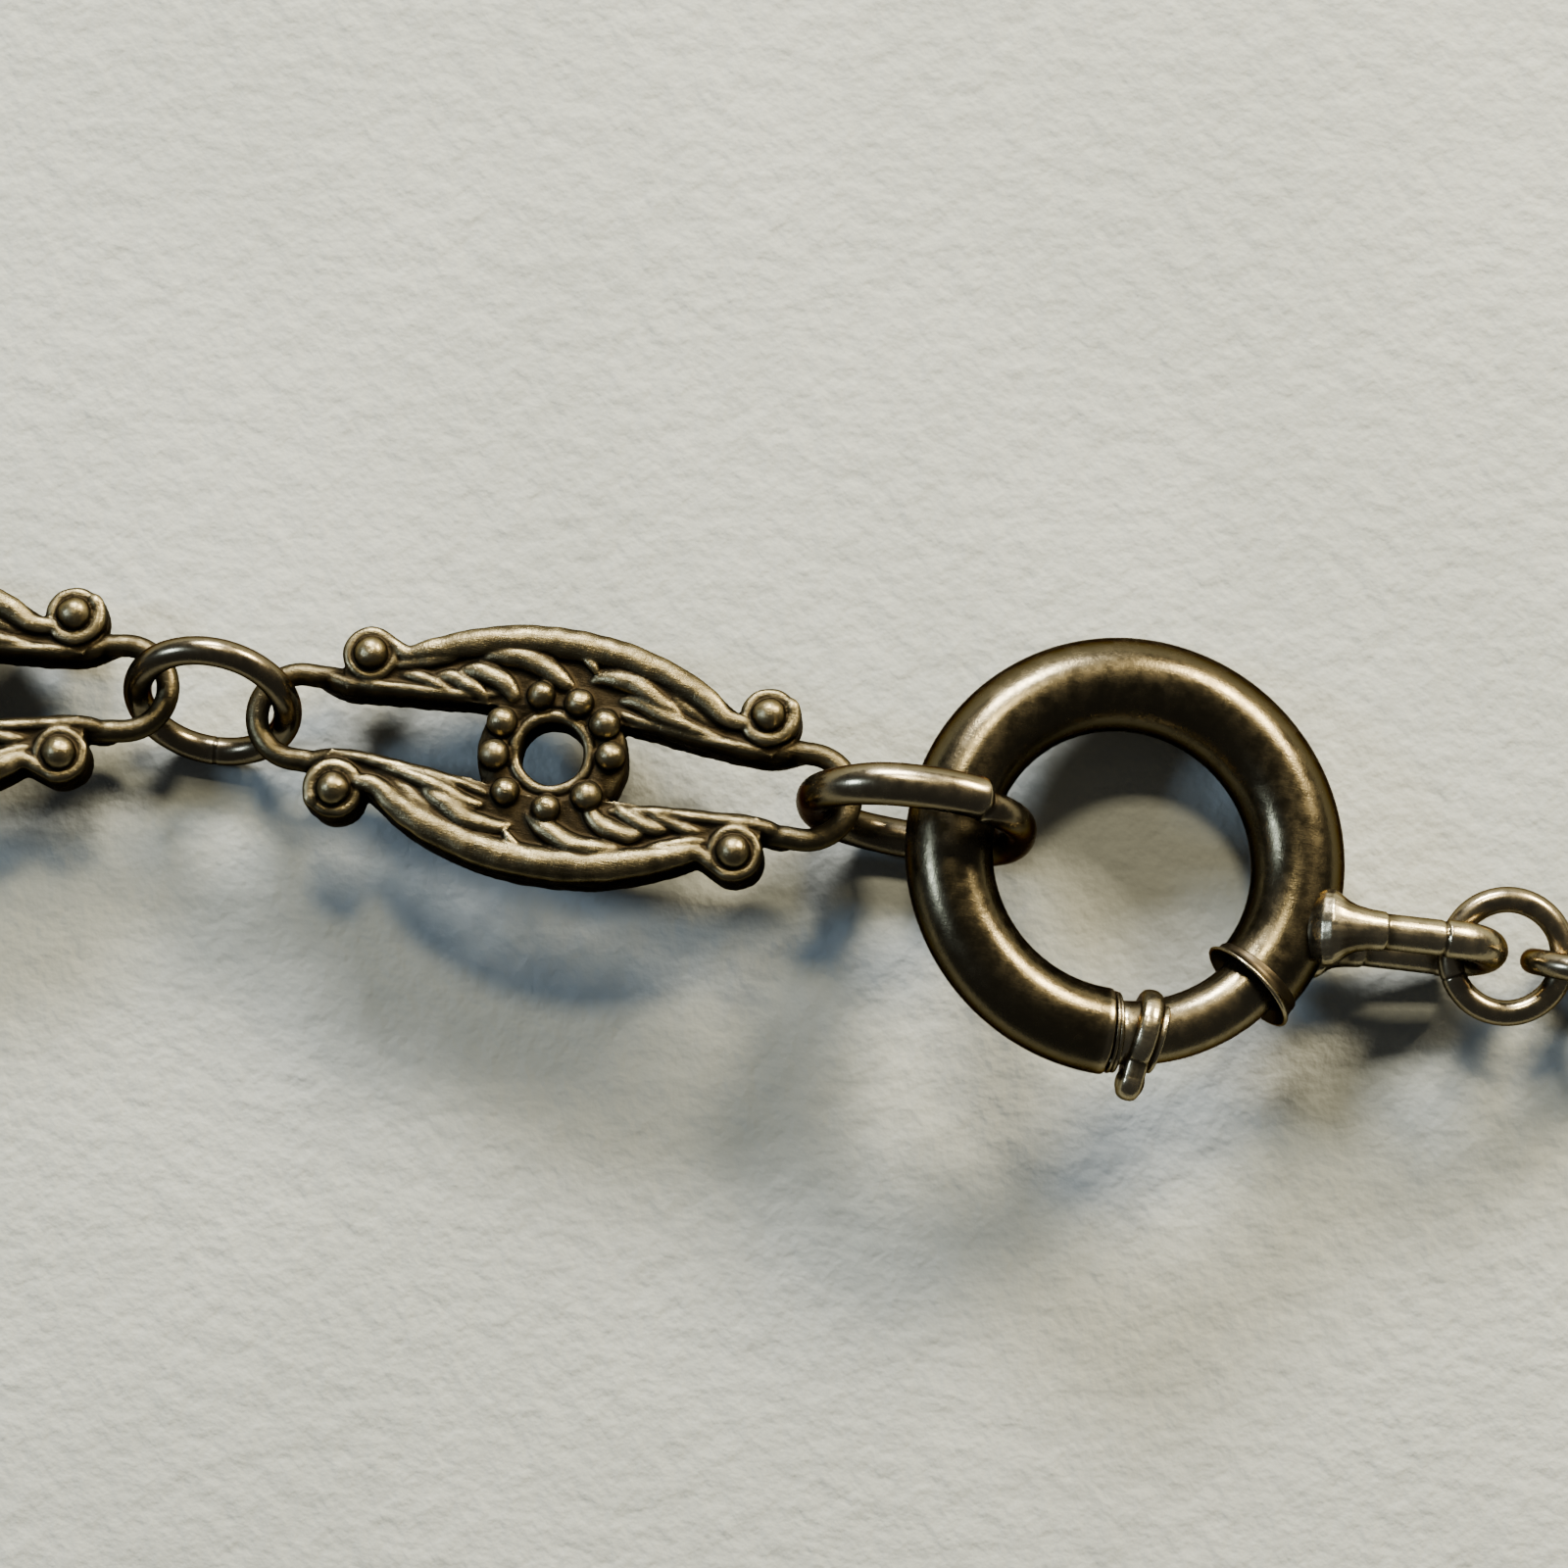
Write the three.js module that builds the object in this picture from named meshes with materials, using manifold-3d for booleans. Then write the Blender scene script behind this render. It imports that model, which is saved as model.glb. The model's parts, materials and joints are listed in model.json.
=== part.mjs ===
// A length of pocket-watch chain with its bolt ring.
// Millimetres, +Z up, +X along the chain from the cast links towards the bolt ring's own eye.
// The chain lies on the plane z = 0 and leans a little to its +Y side, as a loose chain does.
// The origin is the bottom centre of the chain's bounding box.

import * as THREE from 'three';
import { mergeVertices } from 'three/addons/utils/BufferGeometryUtils.js';
import Module from 'manifold-3d';

const wasm = await Module();
wasm.setup();

const degrees = Math.PI / 180;

// ---- Driving dimensions ----

// Bolt ring. Angles run anticlockwise from +X about the ring's own centre.
const boltRingRadius = 5.55; // centre line of the tube
const tubeRadius = 1.42;
const boreRadius = 1.14;
const mouthAngle = -36;
const tubeEndAngle = 274;
const boltRadius = 1.0;
const boltTipAngle = -84.5;
const boltInnerAngle = 10;
const boltTailRadius = 0.55;
const boltTailAngle = 18;
const ferruleRadius = 1.28;
const ferruleStart = -85.9;
const ferruleEnd = -83.4;
const collarRadius = 1.62;
const collarLength = 5; // degrees of tube that the collar covers
const fixedGap = 0.03; // solder line between two pieces fixed together
const stopAngle = 134;
const stopLength = 6; // degrees
const springCoilRadius = 0.86;
const springWireRadius = 0.12;
const springTurns = 17;

// Thumb piece, a band round the bolt with a tab for the nail.
const thumbAngle = -75;
const thumbSlant = -20;
const thumbBandRadius = 1.36;
const thumbWidth = 0.6;
const thumbTabReach = 2.1; // from the bolt's axis, outwards
const thumbTabHalfWidth = 0.62;
const thumbRidgeRadius = 1.2;
const thumbRidgeWidth = 0.24;

// Eye soldered to the bolt ring.
const eyeAngle = -13; // where its line leaves the tube's centre line
const eyeTurn = 5; // heading of that line
const eyeReach = 6.5; // from the tube's centre line to the middle of its end strand
const eyeHalfHeight = 1.38;
const eyeWireRadius = 0.65;

// Round rings: centre-line radius and wire radius.
const claspRing = { radius: 3.2, wire: 0.61 };
const linkRing = { radius: 2.38, wire: 0.46 };
const smallRing = { radius: 1.78, wire: 0.42 };

// Cast openwork link.
const linkHalfLength = 9.83;
const linkHalfThickness = 0.9;
const armPeak = 4.0;
const armInnerEdge = 1.05;
const rosetteRadius = 2.35;
const rosetteHole = 1.05;
const beadCount = 9;
const beadRing = 1.72;
const beadRadius = 0.44;
const pelletPlaces = [
  [-6.15, 2.22],
  [6.5, 2.24],
]; // on one arm; the other arm is that arm turned half a turn
const pelletRadius = 0.9;
const pelletDomeRadius = 0.62;
const pelletDomeSink = 0.15; // centre of the dome below the link's face
const linkEyeRadius = 1.38; // centre line
const linkEyeWire = 0.4;
const linkEyeLegStart = 5.4;

// How the pieces lie.
const claspLean = -14;
const claspPitch = 6.2;
const linkLean = -13;
const nearLinkTurn = 1;
const farLinkTurn = 10;
const linkRingTilt = 50;
const slack = 0.09; // room between two rings pulled against each other

// ---- Curves ----

class Arc extends THREE.Curve {
  // Part of a circle about the Z axis, from one angle to another in degrees.
  constructor(radius, from, to) {
    super();
    this.radius = radius;
    this.from = from * degrees;
    this.to = to * degrees;
  }

  getPoint(t, target = new THREE.Vector3()) {
    const angle = this.from + (this.to - this.from) * t;
    return target.set(this.radius * Math.cos(angle), this.radius * Math.sin(angle), 0);
  }
}

class Hairpin extends THREE.Curve {
  // Two straight legs along X joined by a half circle at their +X end, in the XY plane.
  constructor(start, centre, radius) {
    super();
    this.start = start;
    this.centre = centre;
    this.radius = radius;
    this.leg = centre - start;
    this.total = 2 * this.leg + Math.PI * radius;
  }

  getPoint(t, target = new THREE.Vector3()) {
    const along = t * this.total;
    if (along < this.leg) {
      return target.set(this.start + along, -this.radius, 0);
    }
    const bend = (along - this.leg) / this.radius;
    if (bend < Math.PI) {
      const x = this.centre + this.radius * Math.sin(bend);
      return target.set(x, -this.radius * Math.cos(bend), 0);
    }
    const back = along - this.leg - Math.PI * this.radius;
    return target.set(this.centre - back, this.radius, 0);
  }
}

class ArcHelix extends THREE.Curve {
  // A coil wound round an arc of the bolt ring's centre line.
  constructor(ringRadius, coilRadius, turns, from, to) {
    super();
    Object.assign(this, { ringRadius, coilRadius, turns });
    this.from = from * degrees;
    this.to = to * degrees;
  }

  getPoint(t, target = new THREE.Vector3()) {
    const angle = this.from + (this.to - this.from) * t;
    const wind = 2 * Math.PI * this.turns * t;
    const reach = this.ringRadius + this.coilRadius * Math.cos(wind);
    const height = this.coilRadius * Math.sin(wind);
    return target.set(reach * Math.cos(angle), reach * Math.sin(angle), height);
  }
}

// ---- Solids ----

function solidOf(geometry) {
  const bare = geometry.index ? geometry.toNonIndexed() : geometry.clone();
  bare.deleteAttribute('normal');
  bare.deleteAttribute('uv');
  const merged = mergeVertices(bare, 1e-5);
  const vertProperties = new Float32Array(merged.attributes.position.array);
  const triVerts = new Uint32Array(merged.index.array);
  return new wasm.Manifold(new wasm.Mesh({ numProp: 3, vertProperties, triVerts }));
}

function geometryOf(solid) {
  const mesh = solid.getMesh();
  const geometry = new THREE.BufferGeometry();
  geometry.setAttribute('position', new THREE.BufferAttribute(mesh.vertProperties, 3));
  geometry.setIndex(new THREE.BufferAttribute(mesh.triVerts, 1));
  geometry.computeVertexNormals();
  return geometry;
}

function disc(radius, holeRadius = 0) {
  const shape = new THREE.Shape();
  shape.absarc(0, 0, radius, 0, 2 * Math.PI);
  if (holeRadius > 0) {
    const hole = new THREE.Path();
    hole.absarc(0, 0, holeRadius, 0, 2 * Math.PI, true);
    shape.holes.push(hole);
  }
  return shape;
}

function sweep(shape, path, steps, curveSegments) {
  return new THREE.ExtrudeGeometry(shape, { steps, curveSegments, extrudePath: path });
}

function roundRing({ radius, wire }, around, sides) {
  return new THREE.TorusGeometry(radius, wire, sides, around);
}

function plate(shape, bottom, top, curveSegments) {
  const options = { depth: top - bottom, bevelEnabled: false, curveSegments };
  return new THREE.ExtrudeGeometry(shape, options).translate(0, 0, bottom);
}

// ---- Bolt ring pieces, in the bolt ring's own frame ----

function tubeGeometry() {
  const path = new Arc(boltRingRadius, mouthAngle, tubeEndAngle);
  return sweep(disc(tubeRadius, boreRadius), path, 48, 8);
}

function ferruleGeometry() {
  const path = new Arc(boltRingRadius, ferruleStart, ferruleEnd);
  return sweep(disc(ferruleRadius, boreRadius), path, 3, 8);
}

function collarGeometry() {
  const path = new Arc(boltRingRadius, mouthAngle - 0.4, mouthAngle + collarLength);
  return sweep(disc(collarRadius, tubeRadius + fixedGap), path, 3, 8);
}

function boltGeometry() {
  const rod = new Arc(boltRingRadius, boltTipAngle, boltInnerAngle);
  const tail = new Arc(boltRingRadius, boltInnerAngle - 1, boltTailAngle);
  const rodSolid = solidOf(sweep(disc(boltRadius), rod, 22, 6));
  const tailSolid = solidOf(sweep(disc(boltTailRadius), tail, 3, 4));
  return geometryOf(rodSolid.add(tailSolid));
}

function thumbGeometry() {
  // Drawn with the bolt's axis along Z, the tab towards +X, then stood on the ring.
  const outline = new THREE.Shape();
  const tabAngle = Math.asin(thumbTabHalfWidth / thumbBandRadius);
  const tabStraight = thumbTabReach - thumbTabHalfWidth;
  outline.absarc(0, 0, thumbBandRadius, tabAngle, 2 * Math.PI - tabAngle);
  outline.lineTo(tabStraight, -thumbTabHalfWidth);
  outline.absarc(tabStraight, 0, thumbTabHalfWidth, -Math.PI / 2, Math.PI / 2);
  const half = thumbWidth / 2;
  const band = solidOf(plate(outline, -half, half, 8));
  const ridge = solidOf(plate(disc(thumbRidgeRadius), 0, half + thumbRidgeWidth, 8));
  const body = geometryOf(band.add(ridge));
  body.rotateX(-Math.PI / 2);
  body.rotateZ(thumbSlant * degrees);
  body.translate(boltRingRadius, 0, 0);
  body.rotateZ(thumbAngle * degrees);
  const seat = new Arc(boltRingRadius, thumbAngle - 16, thumbAngle + 16);
  const cutter = solidOf(sweep(disc(boltRadius + fixedGap), seat, 8, 6));
  return geometryOf(solidOf(body).subtract(cutter));
}

function springGeometry() {
  const from = boltInnerAngle + 1.6;
  const to = stopAngle - stopLength / 2 - 1.6;
  const coil = new ArcHelix(boltRingRadius, springCoilRadius, springTurns, from, to);
  return sweep(disc(springWireRadius), coil, springTurns * 9, 2);
}

function stopGeometry() {
  const path = new Arc(boltRingRadius, stopAngle - stopLength / 2, stopAngle + stopLength / 2);
  return sweep(disc(boreRadius - 0.06), path, 2, 6);
}

function claspEyeGeometry() {
  // A hairpin of wire in the plane that holds the bolt ring's axis, ends soldered to the tube.
  const loop = new Hairpin(0.6, eyeReach - eyeHalfHeight, eyeHalfHeight);
  const wire = solidOf(sweep(disc(eyeWireRadius), loop, 26, 5));
  const solder = new THREE.SphereGeometry(1, 14, 8).scale(0.95, 0.72, 1.55);
  solder.rotateX(Math.PI / 2).translate(tubeRadius + 0.35, 0, 0);
  const joined = geometryOf(wire.add(solidOf(solder)));
  joined.rotateX(Math.PI / 2);
  joined.rotateZ(eyeTurn * degrees);
  joined.translate(
    boltRingRadius * Math.cos(eyeAngle * degrees),
    boltRingRadius * Math.sin(eyeAngle * degrees),
    0,
  );
  const path = new Arc(boltRingRadius, eyeAngle - 40, eyeAngle + 40);
  const cutter = solidOf(sweep(disc(tubeRadius + fixedGap), path, 14, 10));
  return geometryOf(solidOf(joined).subtract(cutter));
}

// ---- Cast link, lying in its own XY plane with its face up ----

function armShape() {
  // One crescent arm: a straight inner edge and a bowed outer edge between two pellets.
  const [[leftX, leftY], [rightX, rightY]] = pelletPlaces;
  const shape = new THREE.Shape();
  shape.moveTo(leftX - 0.4, armInnerEdge);
  shape.lineTo(rightX, armInnerEdge);
  shape.lineTo(rightX + 0.5, rightY);
  shape.splineThru([
    new THREE.Vector2(5.0, 2.86),
    new THREE.Vector2(3.4, 3.5),
    new THREE.Vector2(1.7, 3.88),
    new THREE.Vector2(0, armPeak),
    new THREE.Vector2(-1.7, 3.88),
    new THREE.Vector2(-3.4, 3.5),
    new THREE.Vector2(-5.0, 2.86),
    new THREE.Vector2(leftX - 0.5, leftY),
  ]);
  return shape;
}

function castLinkGeometry() {
  let link = solidOf(plate(disc(rosetteRadius), -linkHalfThickness, linkHalfThickness, 14));
  for (const side of [1, -1]) {
    const arm = plate(armShape(), -linkHalfThickness, linkHalfThickness, 3);
    if (side < 0) {
      arm.rotateZ(Math.PI);
    }
    link = link.add(solidOf(arm));
  }
  for (const end of [1, -1]) {
    const centre = linkHalfLength - linkEyeWire - linkEyeRadius;
    const loop = new Hairpin(linkEyeLegStart, centre, linkEyeRadius);
    const eye = sweep(disc(linkEyeWire), loop, 18, 5);
    if (end < 0) {
      eye.rotateZ(Math.PI);
    }
    link = link.add(solidOf(eye));
  }
  const base = solidOf(plate(disc(pelletRadius), -linkHalfThickness, linkHalfThickness, 8));
  const dome = new THREE.SphereGeometry(pelletDomeRadius, 10, 6);
  dome.translate(0, 0, linkHalfThickness - pelletDomeSink);
  const pellet = base.add(solidOf(dome));
  for (const side of [1, -1]) {
    for (const [x, y] of pelletPlaces) {
      link = link.add(pellet.translate(side * x, side * y, 0));
    }
  }
  for (let i = 0; i < beadCount; i += 1) {
    const angle = (2 * Math.PI * i) / beadCount;
    const bead = new THREE.SphereGeometry(beadRadius, 8, 6);
    bead.translate(beadRing * Math.cos(angle), beadRing * Math.sin(angle), linkHalfThickness - 0.05);
    link = link.add(solidOf(bead));
  }
  const hole = plate(disc(rosetteHole), -2 * linkHalfThickness, 2 * linkHalfThickness, 10);
  return geometryOf(link.subtract(solidOf(hole)));
}

// ---- Materials ----

function metal(color, roughness) {
  return new THREE.MeshStandardMaterial({ color, roughness, metalness: 1 });
}

const oldSilver = metal(0x8f8468, 0.34);
const wornSilver = metal(0xa8987a, 0.3);
const darkSilver = metal(0x5e574b, 0.28);
const springSteel = metal(0x77787a, 0.35);

function piece(name, geometry, material) {
  const mesh = new THREE.Mesh(geometry, material);
  mesh.name = name;
  return mesh;
}

function turnedGroup(position, turn, pitch, lean) {
  // Leans about the group's own X axis first, then pitches about Y, then turns about Z.
  const group = new THREE.Group();
  group.rotation.set(lean * degrees, pitch * degrees, turn * degrees, 'ZYX');
  group.position.copy(position);
  return group;
}

const along = (group, x, y = 0, z = 0) =>
  new THREE.Vector3(x, y, z).applyEuler(group.rotation).add(group.position);

// ---- Assembly ----

const chain = new THREE.Group();

// Bolt ring: its left side is lifted by the ring that passes round it.
const claspRingHeight = claspRing.radius * Math.cos(claspLean * degrees) + claspRing.wire;
const claspHeight = claspRingHeight - boltRingRadius * Math.sin(claspPitch * degrees);
const clasp = new THREE.Group();
clasp.rotation.set(claspLean * degrees, claspPitch * degrees, 0, 'XYZ');
clasp.position.set(0, 0, claspHeight);
clasp.add(piece('bolt_ring_tube', tubeGeometry(), oldSilver));
clasp.add(piece('tube_end_ferrule', ferruleGeometry(), oldSilver));
clasp.add(piece('mouth_collar', collarGeometry(), wornSilver));
clasp.add(piece('sliding_bolt', boltGeometry(), wornSilver));
clasp.add(piece('thumb_piece', thumbGeometry(), wornSilver));
clasp.add(piece('bolt_spring', springGeometry(), springSteel));
clasp.add(piece('spring_stop', stopGeometry(), oldSilver));
clasp.add(piece('clasp_eye', claspEyeGeometry(), wornSilver));
chain.add(clasp);

// Jump ring round the bolt ring's left side, standing across the tube.
const tubeLeft = along(clasp, -boltRingRadius);
const claspRingOffset = claspRing.radius - claspRing.wire - tubeRadius - slack;
const claspRingGroup = new THREE.Group();
claspRingGroup.position.set(tubeLeft.x - claspRingOffset, tubeLeft.y, claspRingHeight);
claspRingGroup.rotation.set(Math.PI / 2 + claspLean * degrees, 0, 0);
claspRingGroup.add(piece('clasp_jump_ring', roundRing(claspRing, 40, 10), darkSilver));
chain.add(claspRingGroup);

// Cast links and the jump ring between them. A pivot is where a ring's wire sits in a link's eye.
const castLink = castLinkGeometry();
const endStrand = linkHalfLength - linkEyeWire;
const claspSidePivot = endStrand - linkEyeWire - claspRing.wire - slack;
const ringSidePivot = endStrand - linkEyeWire - linkRing.wire - slack;
const linkRingHeight = linkRing.radius * Math.sin(linkRingTilt * degrees) + linkRing.wire;

const nearPivot = along(claspRingGroup, -claspRing.radius);
const nearDrop = claspRingHeight - linkRingHeight;
const nearPitch = -Math.asin(nearDrop / (claspSidePivot + ringSidePivot)) / degrees;
const nearLink = turnedGroup(nearPivot, nearLinkTurn, nearPitch, linkLean);
nearLink.position.copy(along(nearLink, -claspSidePivot));
nearLink.add(piece('near_cast_link', castLink, oldSilver));
chain.add(nearLink);

const middleRing = turnedGroup(along(nearLink, -ringSidePivot), 0, 0, linkRingTilt);
middleRing.position.x -= linkRing.radius;
middleRing.add(piece('link_jump_ring', roundRing(linkRing, 36, 10), darkSilver));
chain.add(middleRing);

const farPivot = along(middleRing, -linkRing.radius);
const farLink = turnedGroup(farPivot, farLinkTurn, 0, linkLean);
farLink.position.copy(along(farLink, -ringSidePivot));
farLink.add(piece('far_cast_link', castLink.clone(), oldSilver));
chain.add(farLink);

const endRing = turnedGroup(along(farLink, -ringSidePivot), farLinkTurn, 0, linkRingTilt);
endRing.position.copy(along(endRing, -linkRing.radius));
endRing.add(piece('end_jump_ring', roundRing(linkRing, 36, 10), darkSilver));
chain.add(endRing);

// Three small rings on the bolt ring's eye: lying, standing and sloping down to the plane.
const smallReach = 2 * smallRing.wire + slack; // between the middles of two touching wires
const eyeOrigin = new THREE.Vector3(Math.cos(eyeAngle * degrees), Math.sin(eyeAngle * degrees), 0);
eyeOrigin.multiplyScalar(boltRingRadius);
const eyeHeading = new THREE.Vector3(Math.cos(eyeTurn * degrees), Math.sin(eyeTurn * degrees), 0);
const eyeEnd = eyeOrigin.addScaledVector(eyeHeading, eyeReach);
const eyeEndPlace = along(clasp, eyeEnd.x, eyeEnd.y, eyeEnd.z);
const eyeReachIn = eyeWireRadius + smallRing.wire + slack;

const firstRing = turnedGroup(eyeEndPlace, 0, 0, 0);
firstRing.position.x += smallRing.radius - eyeReachIn;
firstRing.add(piece('eye_ring', roundRing(smallRing, 30, 8), darkSilver));
chain.add(firstRing);

const standingHeight = smallRing.radius + smallRing.wire;
const inset = smallRing.radius - smallReach;
const firstRingEdge = along(firstRing, smallRing.radius);
const standingDrop = standingHeight - firstRingEdge.z;
const secondRing = new THREE.Group();
secondRing.rotation.set(Math.PI / 2, 0, 0);
secondRing.position.set(
  firstRingEdge.x + Math.sqrt(inset ** 2 - standingDrop ** 2),
  firstRingEdge.y,
  standingHeight,
);
secondRing.add(piece('standing_ring', roundRing(smallRing, 30, 8), darkSilver));
chain.add(secondRing);

const slope = Math.asin((standingHeight - smallRing.wire) / (inset + 2 * smallRing.radius)) / degrees;
const lastRing = turnedGroup(secondRing.position, 0, slope, 0);
lastRing.position.copy(along(lastRing, inset + smallRing.radius));
lastRing.add(piece('last_ring', roundRing(smallRing, 30, 8), darkSilver));
chain.add(lastRing);

// Bring the bottom centre of the bounding box to the origin.
const bounds = new THREE.Box3().setFromObject(chain, true);
const middle = bounds.getCenter(new THREE.Vector3());
chain.position.set(-middle.x, -middle.y, -bounds.min.z);

export default chain;
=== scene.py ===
"""Length of pocket-watch chain with its bolt ring, lying on pale paper.

Each piece is built in millimetres in its own frame, then placed by the CAD's joints and boxes.
"""

import json
import math

import bmesh
import bpy
import numpy as np
from mathutils import Matrix, Vector, noise


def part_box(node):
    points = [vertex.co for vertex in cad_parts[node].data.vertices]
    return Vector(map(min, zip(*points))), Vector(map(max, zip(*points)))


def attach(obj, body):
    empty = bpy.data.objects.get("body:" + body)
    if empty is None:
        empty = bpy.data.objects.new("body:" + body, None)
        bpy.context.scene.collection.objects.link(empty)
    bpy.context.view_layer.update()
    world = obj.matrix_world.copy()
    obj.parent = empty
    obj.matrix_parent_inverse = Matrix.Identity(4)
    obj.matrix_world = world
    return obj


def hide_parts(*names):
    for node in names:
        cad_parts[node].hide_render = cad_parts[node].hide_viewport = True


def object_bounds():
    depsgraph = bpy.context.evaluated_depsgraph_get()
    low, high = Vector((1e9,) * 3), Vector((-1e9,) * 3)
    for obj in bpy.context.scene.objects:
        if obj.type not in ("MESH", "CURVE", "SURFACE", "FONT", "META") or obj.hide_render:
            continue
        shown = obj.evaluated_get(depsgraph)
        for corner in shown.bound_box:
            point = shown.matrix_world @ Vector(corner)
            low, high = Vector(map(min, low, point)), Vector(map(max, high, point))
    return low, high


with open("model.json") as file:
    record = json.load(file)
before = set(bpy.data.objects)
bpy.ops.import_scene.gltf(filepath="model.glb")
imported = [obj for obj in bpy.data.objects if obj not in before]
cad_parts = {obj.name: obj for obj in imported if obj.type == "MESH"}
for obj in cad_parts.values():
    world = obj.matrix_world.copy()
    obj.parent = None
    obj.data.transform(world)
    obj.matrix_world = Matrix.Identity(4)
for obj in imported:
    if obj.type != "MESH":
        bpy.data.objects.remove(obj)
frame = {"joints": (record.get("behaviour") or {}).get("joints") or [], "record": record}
cad_box = [list(corner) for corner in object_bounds()]

MM = 0.001
JOINTS = {joint["name"]: joint for joint in frame["joints"]}
MOUNTS = {mount["name"]: mount for mount in frame["record"]["mounts"]}

# ---- Driving dimensions, in millimetres and degrees, after the CAD part ----

BOLT_RING_RADIUS = 5.55
TUBE_RADIUS = 1.42
BORE_RADIUS = 1.14
TUBE_END_ANGLE = 274.0
MOUTH_ANGLE = -36.0
BOLT_RADIUS = 1.0
BOLT_TIP_ANGLE = -84.5
BOLT_INNER_ANGLE = 10.0
BOLT_TAIL_RADIUS = 0.55
BOLT_TAIL_ANGLE = 18.0
STOP_ANGLES = (131.0, 137.0)
STOP_RADIUS = 1.07
SPRING_TURNS = 17
SPRING_ANGLES = (11.6, 129.4)
SPRING_COIL_RADIUS = 0.86
SPRING_WIRE = 0.115
COLLAR_LENGTH = 5.0
THUMB_ANGLE = -75.0
THUMB_SLANT = -20.0
EYE_ANGLE = -13.0
EYE_TURN = 5.0
EYE_REACH = 6.5
EYE_HALF_HEIGHT = 1.38
EYE_WIRE = 0.65
CLASP_LEAN = -14.0
CLASP_PITCH = 6.2
CLASP_RING = (3.2, 0.61)
LINK_RING = (2.38, 0.46)
SMALL_RING = (1.78, 0.42)
LINK_HALF_LENGTH = 9.83
LINK_HALF_THICKNESS = 0.9
LINK_EYE_RADIUS = 1.38
LINK_EYE_WIRE = 0.4
SLACK = 0.09  # room between two rings pulled against each other

# The photograph's view, straight down on the paper. FRAME_WIDTH is what it takes in.
CAMERA_ROLL = 10.0
CAMERA_HEIGHT = 170.0
FRAME_WIDTH = 49.1
LOOK_AT = (6.0, 0.68, 2.4)
SENSOR_WIDTH = 36.0

# Name, way towards it in the photograph (right, up, elevation), size, watts and colour.
LIGHT_DISTANCE = 330.0
LIGHTS = (
    ("warm_window", (0.66, 0.75, 24), (100, 60), 4.2, (1.0, 0.84, 0.55)),
    ("low_window", (-0.12, 1.0, 23), (120, 56), 4.4, (1.0, 0.96, 0.88)),
    ("lamp", (-0.02, 1.0, 48), (56, 34), 1.0, (1.0, 0.86, 0.56)),
    ("cool_window", (-1.0, 0.2, 36), (56, 56), 0.75, (0.6, 0.78, 1.0)),
)
ROOM_GREY = (0.1, 0.1, 0.1, 1.0)
PAPER_HALF_SIZE = 450.0


# ---- Mesh helpers ----


def mesh_from(name, verts, faces):
    mesh = bpy.data.meshes.new(name)
    mesh.from_pydata([tuple(v) for v in verts], [], faces)
    mesh.validate()
    mesh.update()
    return mesh


def new_object(name, mesh):
    obj = bpy.data.objects.new(name, mesh)
    bpy.context.scene.collection.objects.link(obj)
    return obj


def recalc(mesh):
    """Turns all faces outwards."""
    bm = bmesh.new()
    bm.from_mesh(mesh)
    bmesh.ops.recalc_face_normals(bm, faces=bm.faces)
    bm.to_mesh(mesh)
    bm.free()


def smoothstep(t):
    t = np.clip(t, 0.0, 1.0)
    return t * t * (3 - 2 * t)


def round_points(centre, radius, count):
    angles = np.linspace(0, 2 * math.pi, count, endpoint=False)
    return [(centre[0] + radius * math.cos(a), centre[1] + radius * math.sin(a)) for a in angles]


def spline(points, samples, closed=False):
    """Points along a Catmull-Rom curve; extra columns are interpolated too."""
    p = np.array(points, float)
    n = len(p)
    if closed:
        ext = np.vstack([p[-1], p, p[0], p[1]])
        spans = n
    else:
        ext = np.vstack([2 * p[0] - p[1], p, 2 * p[-1] - p[-2]])
        spans = n - 1
    out = []
    for i in range(spans):
        a, b, c, d = ext[i : i + 4]
        for t in np.linspace(0, 1, samples, endpoint=False):
            out.append(
                0.5
                * (
                    2 * b
                    + (c - a) * t
                    + (2 * a - 5 * b + 4 * c - d) * t * t
                    + (3 * b - a - 3 * c + d) * t**3
                )
            )
    if not closed:
        out.append(p[-1])
    return np.array(out)


def tangents(p, closed):
    """Unit directions along a row of points."""
    if closed:
        along = np.roll(p, -1, 0) - np.roll(p, 1, 0)
    else:
        along = np.gradient(p, axis=0)
    return along / np.linalg.norm(along, axis=1)[:, None]


def loft(rings, closed=False):
    """Verts and faces through equal rings of points; open lofts are capped at both ends."""
    count, size = len(rings), len(rings[0])
    verts = [tuple(v) for ring in rings for v in ring]
    faces = []
    for i in range(count if closed else count - 1):
        a, b = i * size, ((i + 1) % count) * size
        for j in range(size):
            k = (j + 1) % size
            faces.append((a + j, a + k, b + k, b + j))
    if not closed:
        faces.append(tuple(range(size))[::-1])
        faces.append(tuple((count - 1) * size + j for j in range(size)))
    return verts, faces


def tube_along(points, radii, sides=20, closed=False, spread=1.0):
    """A wire through 3-D points. spread is a section's sideways reach as a share of its radius."""
    p = np.array(points, float)
    r = np.broadcast_to(np.array(radii, float), len(p))
    shares = np.broadcast_to(np.array(spread, float), len(p))
    tangent = tangents(p, closed)
    normal = np.cross(tangent[0], (0.0, 0.0, 1.0))
    if np.linalg.norm(normal) < 1e-3:
        normal = np.cross(tangent[0], (0.0, 1.0, 0.0))
    normals = []
    for t in tangent:
        normal = normal - t * (normal @ t)
        normal /= np.linalg.norm(normal)
        normals.append(normal.copy())
    rings = []
    angles = np.linspace(0, 2 * math.pi, sides, endpoint=False)
    for q, t, n, radius, share in zip(p, tangent, normals, r, shares):
        b = np.cross(t, n)
        rings.append(
            [q + n * radius * math.cos(a) + b * radius * share * math.sin(a) for a in angles]
        )
    return loft(rings, closed)


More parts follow.
